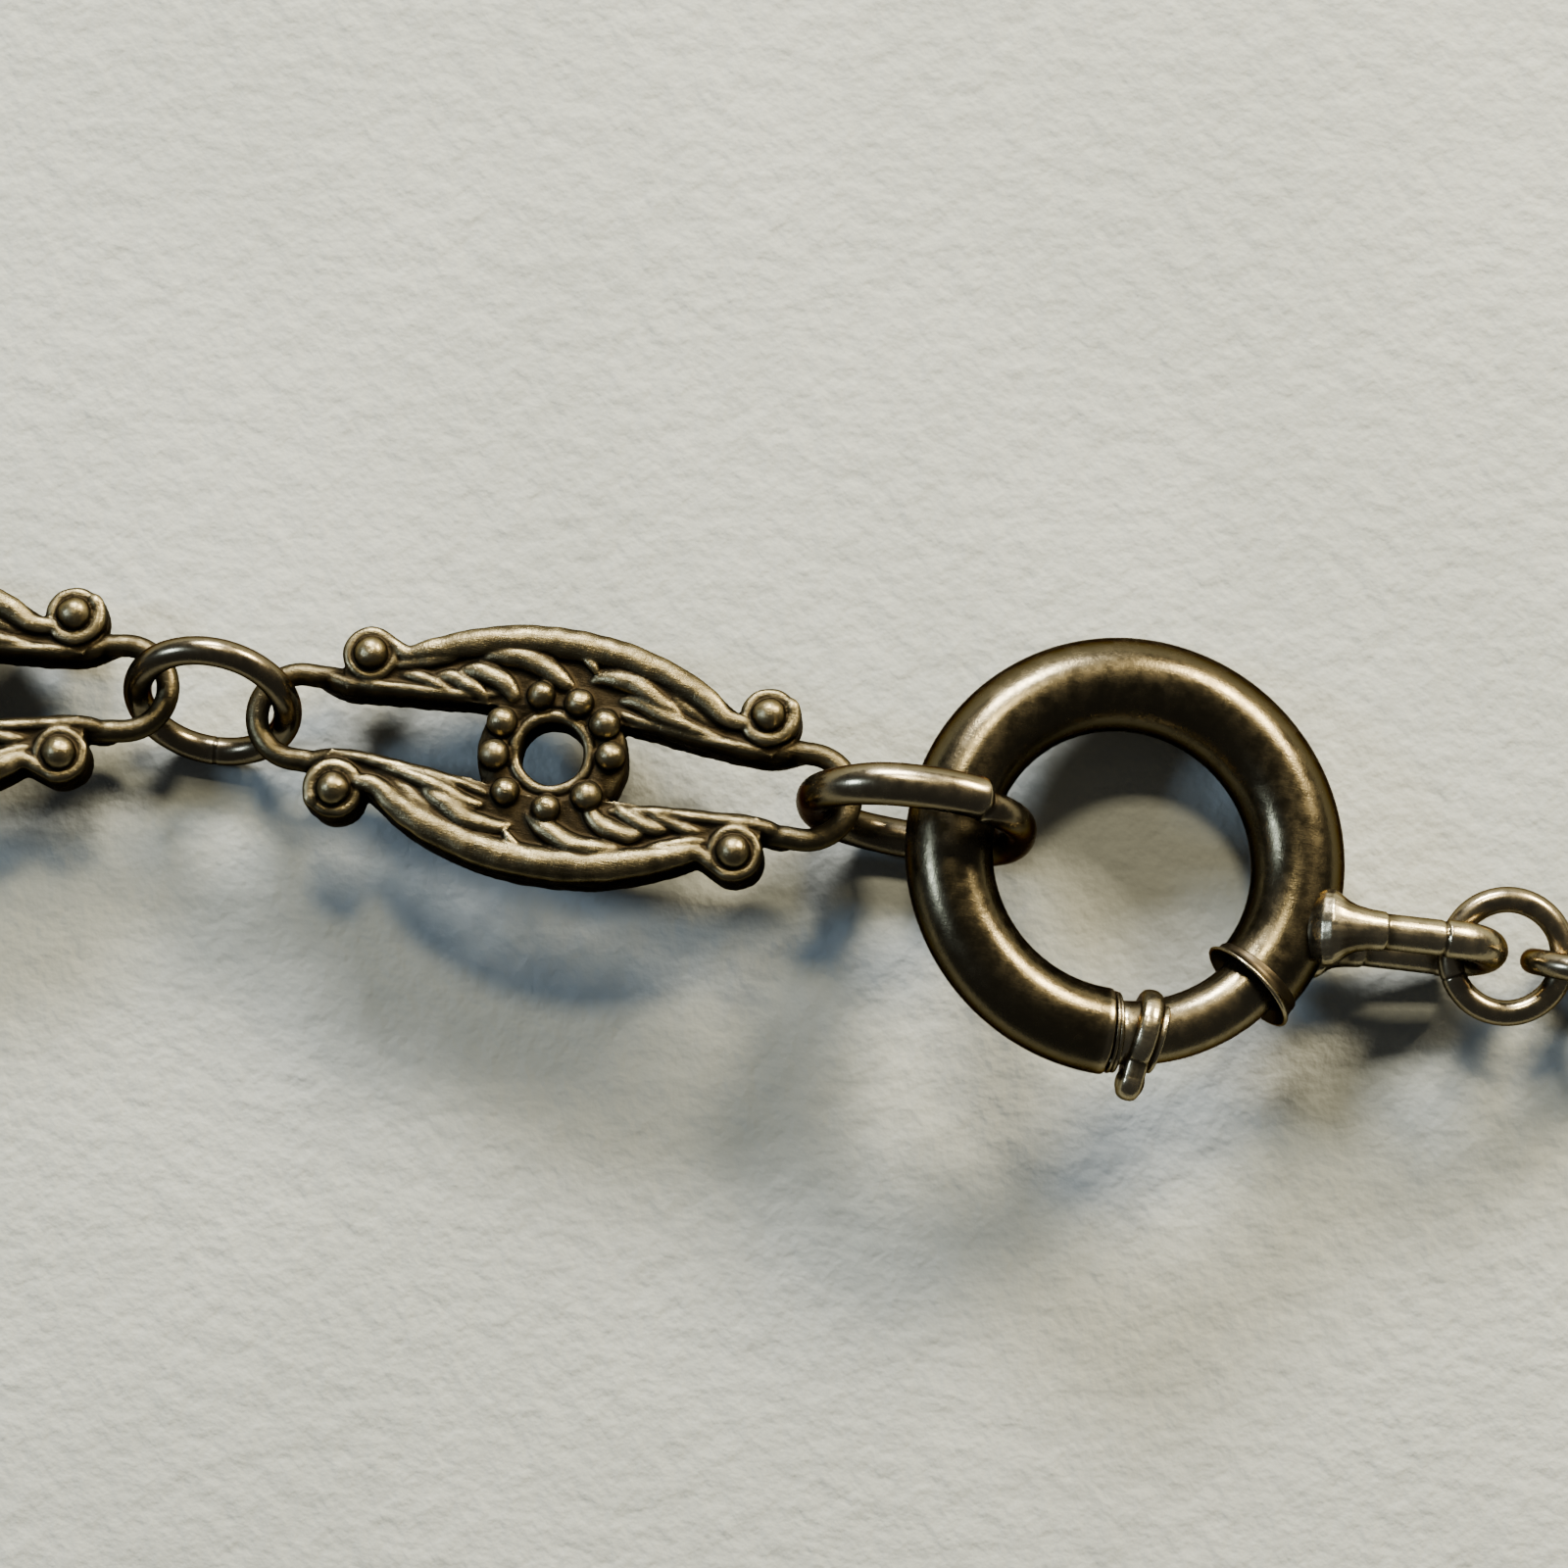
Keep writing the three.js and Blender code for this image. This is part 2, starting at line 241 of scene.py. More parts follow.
def ridge(points, bottom, samples=7, closed=False, steep=1.3):
    """A wall with an arched top along a plan curve. Each point is (x, y, width, top).

    steep is the arch's height as a share of half its width.
    """
    arch_points = 11
    narrowest = 0.04
    s = spline(points, samples, closed)
    p = s[:, :2]
    tangent = tangents(p, closed)
    side = np.stack([-tangent[:, 1], tangent[:, 0]], 1)
    rings = []
    for q, n, width, top in zip(p, side, s[:, 2], s[:, 3]):
        half = max(width, narrowest) / 2
        rise = min(half * steep, top - bottom - 0.1)
        ring = [(q[0] - n[0] * half, q[1] - n[1] * half, bottom)]
        for a in np.linspace(math.pi, 0, arch_points):
            x = half * math.cos(a)
            z = top - rise + rise * math.sin(a)
            ring.append((q[0] + n[0] * x, q[1] + n[1] * x, z))
        ring.append((q[0] + n[0] * half, q[1] + n[1] * half, bottom))
        rings.append(ring)
    return loft(rings, closed)


def slab(outline, bottom, top):
    """A flat plate with this outline."""
    ring = [(x, y, bottom) for x, y in outline]
    cap = [(x, y, top) for x, y in outline]
    return loft([ring, cap])


def ball(centre, radii):
    """A closed ellipsoid."""
    rows, cols = 14, 22
    verts, faces = [], []
    for i in range(1, rows):
        polar = math.pi * i / rows
        for j in range(cols):
            a = 2 * math.pi * j / cols
            verts.append(
                (
                    centre[0] + radii[0] * math.sin(polar) * math.cos(a),
                    centre[1] + radii[1] * math.sin(polar) * math.sin(a),
                    centre[2] + radii[2] * math.cos(polar),
                )
            )
    for i in range(rows - 2):
        for j in range(cols):
            k = (j + 1) % cols
            faces.append((i * cols + j, (i + 1) * cols + j, (i + 1) * cols + k, i * cols + k))
    faces.append(tuple(range(cols)))
    faces.append(tuple((rows - 2) * cols + j for j in range(cols))[::-1])
    return verts, faces


def fuse(name, parts, voxel, smooth_steps):
    """One skin round overlapping closed parts, as one casting has."""
    verts, faces = [], []
    for v, f in parts:
        base = len(verts)
        verts += list(v)
        faces += [tuple(i + base for i in face) for face in f]
    mesh = mesh_from(name + "_raw", verts, faces)
    bm = bmesh.new()
    bm.from_mesh(mesh)
    bmesh.ops.recalc_face_normals(bm, faces=bm.faces)
    bmesh.ops.triangulate(bm, faces=bm.faces)
    bm.to_mesh(mesh)
    bm.free()
    obj = new_object(name + "_raw", mesh)
    mod = obj.modifiers.new("fuse", "REMESH")
    mod.mode = "VOXEL"
    mod.voxel_size = voxel
    mod.use_smooth_shade = True
    depsgraph = bpy.context.evaluated_depsgraph_get()
    fused = bpy.data.meshes.new_from_object(obj.evaluated_get(depsgraph))
    bpy.data.objects.remove(obj)
    fused.name = name
    relax(fused, smooth_steps)
    return fused


def coords(mesh):
    co = np.zeros(len(mesh.vertices) * 3)
    mesh.vertices.foreach_get("co", co)
    return co.reshape(-1, 3)


def set_coords(mesh, co):
    mesh.vertices.foreach_set("co", co.ravel())
    mesh.update()


def vertex_normals(mesh):
    normals = np.zeros(len(mesh.vertices) * 3)
    mesh.vertex_normals.foreach_get("vector", normals)
    return normals.reshape(-1, 3)


def edge_ends(mesh):
    ends = np.zeros(len(mesh.edges) * 2, np.int64)
    mesh.edges.foreach_get("vertices", ends)
    return ends.reshape(-1, 2)


def neighbour_counts(ends, size):
    return np.maximum(np.bincount(ends.ravel(), minlength=size), 1)


def averaged(co, ends, counts):
    """Each vertex moved to the mean of its neighbours."""
    out = np.empty_like(co)
    for axis in range(co.shape[1]):
        total = np.bincount(ends[:, 0], co[ends[:, 1], axis], len(co))
        total += np.bincount(ends[:, 1], co[ends[:, 0], axis], len(co))
        out[:, axis] = total / counts
    return out


def relax(mesh, steps):
    """Taubin smoothing: rounds the voxel steps off without shrinking the piece."""
    inwards = 0.5
    outwards = inwards + 0.03
    co, ends = coords(mesh), edge_ends(mesh)
    counts = neighbour_counts(ends, len(co))
    for _ in range(steps):
        co = co + inwards * (averaged(co, ends, counts) - co)
        co = co - outwards * (averaged(co, ends, counts) - co)
    set_coords(mesh, co)


def roughen(mesh, size, depth):
    """Moves a casting's skin in and out by up to depth, in blobs about size across.

    The link's eyes, rubbed smooth by their rings, keep their shape.
    """
    eyes_from, fade = 7.6, 0.6
    co = coords(mesh)
    shift = [noise.noise(Vector(point) / size) for point in co]
    rubbed = smoothstep((np.abs(co[:, 0]) - eyes_from) / fade)
    co += vertex_normals(mesh) * (np.array(shift) * (1 - rubbed))[:, None] * depth
    set_coords(mesh, co)


def mark_relief(mesh, reach, painted_shade=None):
    """Stores 'relief' on each vertex: above 0.5 on raised edges, below it in hollows.

    reach is the size in millimetres of the edges and hollows that count. The last argument gives,
    from the vertices, how much painted shade each takes: 1 makes it as dark as the deepest hollows.
    """
    fewest, most = 3, 90
    contrast = 2.0
    co, ends = coords(mesh), edge_ends(mesh)
    counts = neighbour_counts(ends, len(co))
    lengths = np.linalg.norm(co[ends[:, 0]] - co[ends[:, 1]], axis=1)
    steps = int(min(max((reach / lengths.mean()) ** 2, fewest), most))
    soft = co
    for _ in range(steps):
        soft = averaged(soft, ends, counts)
    lift = ((co - soft) * vertex_normals(mesh)).sum(1)
    relief = np.clip(0.5 + lift / reach * contrast, 0, 1)
    # Painted shade: relief is lowered here so that the material darkens these vertices like deep
    # hollows.
    if painted_shade:
        relief = relief * (1 - painted_shade(co))
    layer = mesh.attributes.new("relief", "FLOAT", "POINT")
    layer.data.foreach_set("value", relief.astype(np.float32))


# ---- Places, from the frame ----


def place(centre, x_axis, z_axis):
    """Matrix from a piece's own millimetre frame to the frame in metres."""
    z = Vector(z_axis).normalized()
    x = Vector(x_axis)
    x = (x - z * x.dot(z)).normalized()
    y = z.cross(x)
    turn = Matrix((x, y, z)).transposed().to_4x4()
    return Matrix.Translation(Vector(centre)) @ turn @ Matrix.Scale(MM, 4)


def ring_place(node, joint):
    low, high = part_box(node)
    return place((low + high) / 2, (1, 0, 0), JOINTS[joint]["axis"])


def clasp_place():
    turn = (
        Matrix.Rotation(math.radians(CLASP_LEAN), 4, "X")
        @ Matrix.Rotation(math.radians(CLASP_PITCH), 4, "Y")
    )
    centre = Vector(JOINTS["bolt_slide"]["pos_m"])
    return Matrix.Translation(centre) @ turn @ Matrix.Scale(MM, 4)


def link_place(plus_joint, minus_joint, plus_reach, mount):
    plus = Vector(JOINTS[plus_joint]["pos_m"])
    minus = Vector(JOINTS[minus_joint]["pos_m"])
    x_axis = (plus - minus).normalized()
    normal = -Vector(MOUNTS[mount]["axis"])
    return place(plus - x_axis * plus_reach * MM, x_axis, normal)


def finish_piece(name, mesh, matrix, body, nodes, material, relief, painted_shade=None):
    """Places a mesh on its body, in the CAD nodes' stead, with its metal and any painted shade."""
    mark_relief(mesh, relief, painted_shade)
    mesh.name = name
    mesh.transform(matrix)
    mesh.shade_smooth()
    mesh.materials.clear()
    mesh.materials.append(material)
    obj = new_object(name, mesh)
    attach(obj, body)
    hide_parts(*nodes)


# ---- Materials ----


class Nodes:
    """Short calls for building one material's node tree."""

    def __init__(self, name):
        self.material = bpy.data.materials.new(name)
        self.material.use_nodes = True
        self.tree = self.material.node_tree
        self.tree.nodes.clear()
        self.output = self.tree.nodes.new("ShaderNodeOutputMaterial")
        self.shader = self.tree.nodes.new("ShaderNodeBsdfPrincipled")
        self.tree.links.new(self.shader.outputs[0], self.output.inputs[0])
        self.position = self.tree.nodes.new("ShaderNodeTexCoord").outputs["Object"]

    def link(self, source, target):
        self.tree.links.new(source, target)

    def set_input(self, node, name, value):
        if isinstance(value, bpy.types.NodeSocket):
            self.link(value, node.inputs[name])
        else:
            node.inputs[name].default_value = value

    def mapped(self, scale):
        node = self.tree.nodes.new("ShaderNodeMapping")
        node.inputs["Scale"].default_value = scale
        self.link(self.position, node.inputs["Vector"])
        return node.outputs[0]

    def noise(self, size_mm, detail=3.0, rough=0.55, stretch=(1, 1, 1), distortion=0.0):
        """Noise whose blobs are about size_mm across."""
        node = self.tree.nodes.new("ShaderNodeTexNoise")
        scale = [s / (MM * size_mm) for s in stretch]
        self.link(self.mapped(scale), node.inputs["Vector"])
        node.inputs["Scale"].default_value = 1.0
        node.inputs["Detail"].default_value = detail
        node.inputs["Roughness"].default_value = rough
        node.inputs["Distortion"].default_value = distortion
        return node.outputs["Fac"]

    def ramp(self, value, low, high, out_low=0.0, out_high=1.0):
        node = self.tree.nodes.new("ShaderNodeMapRange")
        node.interpolation_type = "SMOOTHSTEP"
        self.set_input(node, "Value", value)
        node.inputs["From Min"].default_value = low
        node.inputs["From Max"].default_value = high
        node.inputs["To Min"].default_value = out_low
        node.inputs["To Max"].default_value = out_high
        return node.outputs[0]

    def mix(self, fac, a, b):
        node = self.tree.nodes.new("ShaderNodeMix")
        node.data_type = "RGBA"
        self.set_input(node, 0, fac)
        self.set_input(node, 6, a)
        self.set_input(node, 7, b)
        return node.outputs[2]

    def math(self, kind, a, b):
        node = self.tree.nodes.new("ShaderNodeMath")
        node.operation = kind
        self.set_input(node, 0, a)
        self.set_input(node, 1, b)
        return node.outputs[0]

    def attribute(self, name):
        node = self.tree.nodes.new("ShaderNodeAttribute")
        node.attribute_name = name
        return node.outputs["Fac"]

    def bump(self, height, strength, distance_mm, after=None):
        node = self.tree.nodes.new("ShaderNodeBump")
        node.inputs["Strength"].default_value = strength
        node.inputs["Distance"].default_value = distance_mm * MM
        self.link(height, node.inputs["Height"])
        if after is not None:
            self.link(after, node.inputs["Normal"])
        return node.outputs[0]


def rgb(r, g, b):
    return (r, g, b, 1.0)


def silver(name, dark, body, bright, rough, wear, grime_and_shade, pits=0.35, cloud_share=0.55, gap=0.02):
    """Old silver: bright where rubbed, brown-black tarnish in hollows and in drifting clouds.

    wear is how much relief it takes to be fully rubbed bright, and the next argument how much it
    takes to be fully dark: tarnish in hollows, and painted shade where mark_relief lowered relief.
    gap is how much relief below 0.5 stays clean. The dark specular tint keeps the grazing rims from
    turning white.
    """
    n = Nodes(name)
    relief = n.attribute("relief")
    cloud = n.noise(3.2, 3.0, 0.5, distortion=0.4)
    speck = n.noise(0.5, 4.0, 0.62)
    grain = n.noise(0.09, 3.0, 0.6)
    fine = n.noise(0.05, 2.0, 0.6, stretch=(0.12, 1, 1))
    cross = n.noise(0.06, 2.0, 0.6, stretch=(1, 0.1, 1))
    cloudy = n.ramp(cloud, 0.36, 0.68)
    specky = n.ramp(speck, 0.4, 0.66)
    # Dark where relief is low: tarnish in hollows, and painted shade where relief was lowered for
    # it.
    tarnish_and_shade = n.ramp(relief, 0.5 - gap, 0.5 - gap - grime_and_shade)
    edge = n.ramp(relief, 0.5 + wear * 0.35, 0.5 + wear)
    tarnish = n.math("MULTIPLY", n.math("MULTIPLY", cloudy, specky), cloud_share)
    base = n.mix(tarnish, body, dark)
    base = n.mix(tarnish_and_shade, base, dark)
    base = n.mix(n.math("MULTIPLY", edge, 0.85), base, bright)
    n.link(base, n.shader.inputs["Base Color"])
    n.shader.inputs["Metallic"].default_value = 1.0
    n.shader.inputs["Specular Tint"].default_value = rgb(0.2, 0.16, 0.12)
    gloss = n.ramp(speck, 0.3, 0.7, rough - 0.05, rough + 0.06)
    gloss = n.math("ADD", gloss, n.math("MULTIPLY", tarnish_and_shade, 0.16))
    n.link(gloss, n.shader.inputs["Roughness"])
    scratches = n.ramp(n.math("MULTIPLY", fine, cross), 0.2, 0.42)
    normal = n.bump(speck, 0.25 * pits, 0.05)
    normal = n.bump(grain, 0.3 * pits, 0.012, normal)
    normal = n.bump(scratches, 0.35 * pits, 0.008, normal)
    n.link(normal, n.shader.inputs["Normal"])
    return n.material


CAST = silver(
    "cast_silver",
    rgb(0.01, 0.0075, 0.004),
    rgb(0.07, 0.058, 0.032),
    rgb(0.165, 0.138, 0.076),
    rough=0.35,
    wear=0.34,
    grime_and_shade=0.24,
    pits=1.5,
    cloud_share=0.7,
    gap=0.0,
)
TUBE = silver(
    "tube_silver",
    rgb(0.022, 0.018, 0.012),
    rgb(0.068, 0.057, 0.034),
    rgb(0.21, 0.178, 0.112),
    rough=0.24,
    wear=0.25,
    grime_and_shade=0.2,
    pits=0.5,
    cloud_share=0.35,
)
HANDLED = silver(
    "handled_silver",
    rgb(0.03, 0.024, 0.015),
    rgb(0.13, 0.11, 0.069),
    rgb(0.3, 0.262, 0.175),
    rough=0.25,
    wear=0.24,
    grime_and_shade=0.2,
    pits=0.4,
    cloud_share=0.5,
)
WIRE = silver(
    "wire_silver",
    rgb(0.014, 0.011, 0.007),
    rgb(0.08, 0.066, 0.042),
    rgb(0.24, 0.205, 0.135),
    rough=0.23,
    wear=0.3,
    grime_and_shade=0.2,
    pits=0.25,
)
STEEL = silver(
    "spring_steel",
    rgb(0.1, 0.1, 0.1),
    rgb(0.4, 0.4, 0.41),
    rgb(0.7, 0.7, 0.7),
    rough=0.3,
    wear=0.3,
    grime_and_shade=0.2,
    pits=0.3,
)


# ---- Bolt ring ----


def on_arc(angle):
    """A point on the bolt ring's centre line."""
    a = math.radians(angle)
    return (BOLT_RING_RADIUS * math.cos(a), BOLT_RING_RADIUS * math.sin(a), 0.0)


def taper(angle):
    """The drawn tube is a little stouter at the top right than at the left."""
    return 1.0 + 0.055 * math.cos(math.radians(angle - 60))


def off_centre_line(co):
    """How far each vertex lies from the bolt ring's centre line."""
    return np.hypot(np.hypot(co[:, 0], co[:, 1]) - BOLT_RING_RADIUS, co[:, 2])


def painted_shade_within(radius, soft=0.04):
    """Painted shade for everything nearer than this radius to the bolt ring's centre line, inside
    the tube where shade falls.
    """
    return lambda co: smoothstep((radius + soft - off_centre_line(co)) / soft)


def arc_section(angle, radius, sides):
    """A circle of points square to the bolt ring's centre line."""
    a = math.radians(angle)
    out = []
    for j in range(sides):
        b = 2 * math.pi * j / sides
        r = BOLT_RING_RADIUS + radius * math.cos(b)
        out.append((r * math.cos(a), r * math.sin(a), radius * math.sin(b)))
    return out


def arc_solid(name, stations, sides, closed=False, tapered=False):
    """A solid round the bolt ring's centre line from (angle, radius) stations, long steps split."""
    longest_step = 1.6
    rings = []
    count = len(stations)
    spans = count if closed else count - 1
    for i in range(spans):
        a0, r0 = stations[i]
        a1, r1 = stations[(i + 1) % count]
        parts = max(1, int(abs(a1 - a0) / longest_step))
        for k in range(parts):
            t = k / parts
            angle = a0 + (a1 - a0) * t
            radius = r0 + (r1 - r0) * t
            rings.append(arc_section(angle, radius * (taper(angle) if tapered else 1.0), sides))
    if not closed:
        rings.append(arc_section(*stations[-1], sides))
    mesh = mesh_from(name, *loft(rings, closed))
    recalc(mesh)
    return mesh


def rounded_lip(angle, radius, thickness, toward):
    """Stations that carry a wall round its rim from the outside to the inside."""
    half = thickness / 2
    swing = math.degrees(half / BOLT_RING_RADIUS) * 0.8
    out = []
    for a in np.linspace(0, math.pi, 7):
        out.append((angle + toward * swing * math.sin(a), radius - half + half * math.cos(a)))
    return out


def build_bolt_ring(at):
    wall = TUBE_RADIUS - BORE_RADIUS
    outside = [
        (TUBE_END_ANGLE, TUBE_RADIUS - 0.16),
        (TUBE_END_ANGLE - 0.25, TUBE_RADIUS - 0.10),
        (TUBE_END_ANGLE - 0.9, TUBE_RADIUS - 0.015),
        (TUBE_END_ANGLE - 1.5, TUBE_RADIUS),
        (TUBE_END_ANGLE - 3.0, TUBE_RADIUS),
    ]
    mouth = rounded_lip(MOUTH_ANGLE + 2.9, TUBE_RADIUS, wall, -1)
    inside = [(MOUTH_ANGLE + 4.5, BORE_RADIUS), (TUBE_END_ANGLE - 0.3, BORE_RADIUS)]
    tube = arc_solid("tube", outside + mouth + inside, 72, closed=True, tapered=True)
    # Painted shade down the bore, which lies in shade.
    bore = painted_shade_within(1.3)
    finish_piece("tube", tube, at, "clasp", ["bolt_ring_tube"], TUBE, 0.3, bore)

    # Two low beads with a groove between them, and the socket for the bolt's tip.
    beads = [
        (-85.95, 1.2), (-85.9, 1.25), (-85.6, 1.28), (-85.0, 1.28), (-84.8, 1.22), (-84.6, 1.22),
        (-84.4, 1.26), (-83.8, 1.26), (-83.5, 1.23), (-83.4, 1.19),
    ]
    socket = [(-83.5, BORE_RADIUS), (-85.8, BORE_RADIUS)]
    neck = arc_solid("ferrule", beads + socket, 64, closed=True)
    finish_piece("neck", neck, at, "clasp", ["tube_end_ferrule"], TUBE, 0.15)

    # The collar belled at the tube's mouth: degrees before its inner end, and radius.
    outer = [
        (0, 1.45), (0.12, 1.485), (0.5, 1.5), (1.8, 1.5), (2.7, 1.515), (3.5, 1.555), (4.1, 1.61),
        (4.5, 1.645), (4.9, 1.66), (5.2, 1.65), (5.4, 1.62), (5.45, 1.58),
    ]
    inner = [
        (5.4, 1.54), (5.2, 1.5), (4.7, 1.43), (4.1, 1.36), (3.5, 1.28), (2.9, 1.19), (2.3, 1.16),
        (0.6, 1.2), (0.1, 1.43),
    ]
    sleeve_end = MOUTH_ANGLE + COLLAR_LENGTH
    stations = [(sleeve_end - before, radius) for before, radius in outer + inner]
    sleeve = arc_solid("collar", stations, 72, closed=True)
    # Painted shade inside the collar's bell, where the tube's mouth lies in shade.
    inside = painted_shade_within(1.52)
    finish_piece(
        "collar", sleeve, at, "clasp", ["mouth_collar"], HANDLED, 0.12, inside
    )

    tip = [(BOLT_TIP_ANGLE, 0.3), (BOLT_TIP_ANGLE + 0.15, 0.72), (BOLT_TIP_ANGLE + 0.7, 0.93)]
    rod = [
        (BOLT_TIP_ANGLE + 1.6, BOLT_RADIUS),
        (BOLT_INNER_ANGLE - 1.0, BOLT_RADIUS),
        (BOLT_INNER_ANGLE - 0.3, BOLT_RADIUS - 0.03),
        (BOLT_INNER_ANGLE, BOLT_RADIUS - 0.1),
    ]
    tail = [
        (BOLT_INNER_ANGLE, BOLT_TAIL_RADIUS + 0.01),
        (BOLT_TAIL_ANGLE - 0.5, BOLT_TAIL_RADIUS),
        (BOLT_TAIL_ANGLE - 0.1, BOLT_TAIL_RADIUS - 0.07),
        (BOLT_TAIL_ANGLE, 0.2),
    ]
    bolt = arc_solid("bolt", tip + rod + tail, 56)
    finish_piece("bolt", bolt, at, "bolt", ["sliding_bolt"], HANDLED, 0.2)

    start, end = STOP_ANGLES
    face = STOP_RADIUS - 0.09
    plug = [(start, face), (start + 0.2, STOP_RADIUS), (end - 0.2, STOP_RADIUS), (end, face)]
    stop = arc_solid("stop", plug, 40)
    finish_piece("stop", stop, at, "clasp", ["spring_stop"], TUBE, 0.2)

    start, end = SPRING_ANGLES
    line = []
    for t in np.linspace(0, 1, SPRING_TURNS * 20 + 1):
        a = math.radians(start + (end - start) * t)
        w = 2 * math.pi * SPRING_TURNS * t
        r = BOLT_RING_RADIUS + SPRING_COIL_RADIUS * math.cos(w)
        line.append((r * math.cos(a), r * math.sin(a), SPRING_COIL_RADIUS * math.sin(w)))
    coil = mesh_from("spring", *tube_along(line, SPRING_WIRE, 10))
    recalc(coil)
    finish_piece("spring", coil, at, "clasp", ["bolt_spring"], STEEL, 0.1)


def thumb_outline(swell):
    """The band's outline square to the bolt: a circle with a blunt tab outwards (+X)."""
    band, half, reach = 1.27, 0.55, 2.1
    points = []
    tab = math.asin(half / band)
    for a in np.linspace(tab + 0.12, 2 * math.pi - tab - 0.12, 44):
        points.append((band * math.cos(a), band * math.sin(a)))
    centre = reach - half
    for a in np.linspace(-math.pi / 2, math.pi / 2, 18):
        points.append((centre + half * math.cos(a), half * math.sin(a)))
    p = np.array(points)
    tangent = tangents(p, closed=True)
    normal = np.stack([tangent[:, 1], -tangent[:, 0]], 1)
    return p + normal * swell


def build_thumb(at):
    """Round slanted band with a bulb for the thumbnail, and a thin ridge beside it."""
    # Along the bolt, and how far the band's outline swells there.
    stations = [
        (-0.37, -0.12), (-0.345, -0.04), (-0.28, 0.035), (-0.16, 0.09), (0.0, 0.11),
        (0.14, 0.09), (0.25, 0.035), (0.31, -0.04), (0.335, -0.12),
    ]
    body = loft([[(x, y, z) for x, y in thumb_outline(swell)] for z, swell in stations])
    # Along the bolt, and the ridge's radius there.
    stations = [(0.2, 1.1), (0.36, 1.1), (0.41, 1.16), (0.48, 1.18), (0.54, 1.16), (0.57, 1.08)]
    band = loft([[(x, y, z) for x, y in round_points((0, 0), r, 62)] for z, r in stations])
    bulb = ball((1.62, 0, -0.02), (0.58, 0.6, 0.46))
    mesh = fuse("thumb", [body, band, bulb], 0.035, 3)
    turn = (
        Matrix.Rotation(math.radians(THUMB_ANGLE), 4, "Z")
        @ Matrix.Translation((BOLT_RING_RADIUS, 0, 0))
        @ Matrix.Rotation(math.radians(THUMB_SLANT), 4, "Z")
        @ Matrix.Rotation(math.radians(-90), 4, "X")
    )
    mesh.transform(turn)
    finish_piece("thumb", mesh, at, "bolt", ["thumb_piece"], HANDLED, 0.2)


def keep_out_of_bore(mesh):
    """Lifts whatever would reach into the bore to the middle of the tube's wall."""
    co = coords(mesh)
    ring = np.hypot(co[:, 0], co[:, 1])
    offset = np.stack([ring - BOLT_RING_RADIUS, co[:, 2]], 1)
    reach = np.linalg.norm(offset, axis=1)
    wall = (TUBE_RADIUS + BORE_RADIUS) / 2
    offset *= (np.maximum(reach, wall) / np.maximum(reach, 1e-6))[:, None]
    co[:, :2] *= ((BOLT_RING_RADIUS + offset[:, 0]) / ring)[:, None]
    co[:, 2] = offset[:, 1]
    set_coords(mesh, co)


def build_eye(at):
    """Hairpin eye standing square to the bolt ring, its ends lost in a pool of solder."""
    centre = EYE_REACH - EYE_HALF_HEIGHT
    start = TUBE_RADIUS - 0.1
    leg = [(x, -EYE_HALF_HEIGHT, 0) for x in np.linspace(start, centre, 50, endpoint=False)]
    bend = []
    for a in np.linspace(-math.pi / 2, math.pi / 2, 26):
        bend.append((centre + EYE_HALF_HEIGHT * math.cos(a), EYE_HALF_HEIGHT * math.sin(a), 0))
    back = [(x, EYE_HALF_HEIGHT, 0) for x in np.linspace(centre, start, 51)[1:]]
    line = np.array(leg + bend + back)
    # The top strand is stouter past the joint where the bent end meets the shank.
    joint = 4.72
    upper = line[:, 1] > -EYE_HALF_HEIGHT + 0.01
    past = smoothstep((line[:, 0] - joint - 0.03) / 0.05) * upper
    groove = np.exp(-(((line[:, 0] - joint) / 0.05) ** 2)) * upper
    radii = EYE_WIRE - 0.04 - 0.04 * (1 - past) - 0.07 * groove
    parts = [tube_along(line, radii, 26)]
    # The solder's flare round each leg: out, off the middle, radius, and spread.
    flare = np.array(
        [
            (0.4, 0.72, 0.5, 1.7), (0.75, 0.9, 0.64, 1.65), (1.05, 1.05, 0.84, 1.45),
            (1.3, 1.14, 0.92, 1.28), (1.5, 1.2, 0.88, 1.17), (1.7, 1.27, 0.8, 1.08),
            (1.95, 1.33, 0.72, 1.03), (2.3, 1.37, 0.66, 1.0), (2.8, 1.38, 0.62, 1.0),
        ]
    )
    for side in (-1, 1):
        path = np.stack([flare[:, 0], side * flare[:, 1], 0 * flare[:, 0]], 1)
        parts.append(tube_along(path, flare[:, 2], 26, spread=flare[:, 3]))
    parts.append(ball((1.4, 0, 0), (0.7, 1.1, 1.0)))
    mesh = fuse("eye", parts, 0.045, 7)
    turn = (
        Matrix.Translation(on_arc(EYE_ANGLE))
        @ Matrix.Rotation(math.radians(EYE_TURN), 4, "Z")
        @ Matrix.Rotation(math.radians(90), 4, "X")
    )
    mesh.transform(turn)
    keep_out_of_bore(mesh)
    finish_piece("clasp_loop", mesh, at, "clasp", ["clasp_eye"], HANDLED, 0.3)


# ---- Rings ----


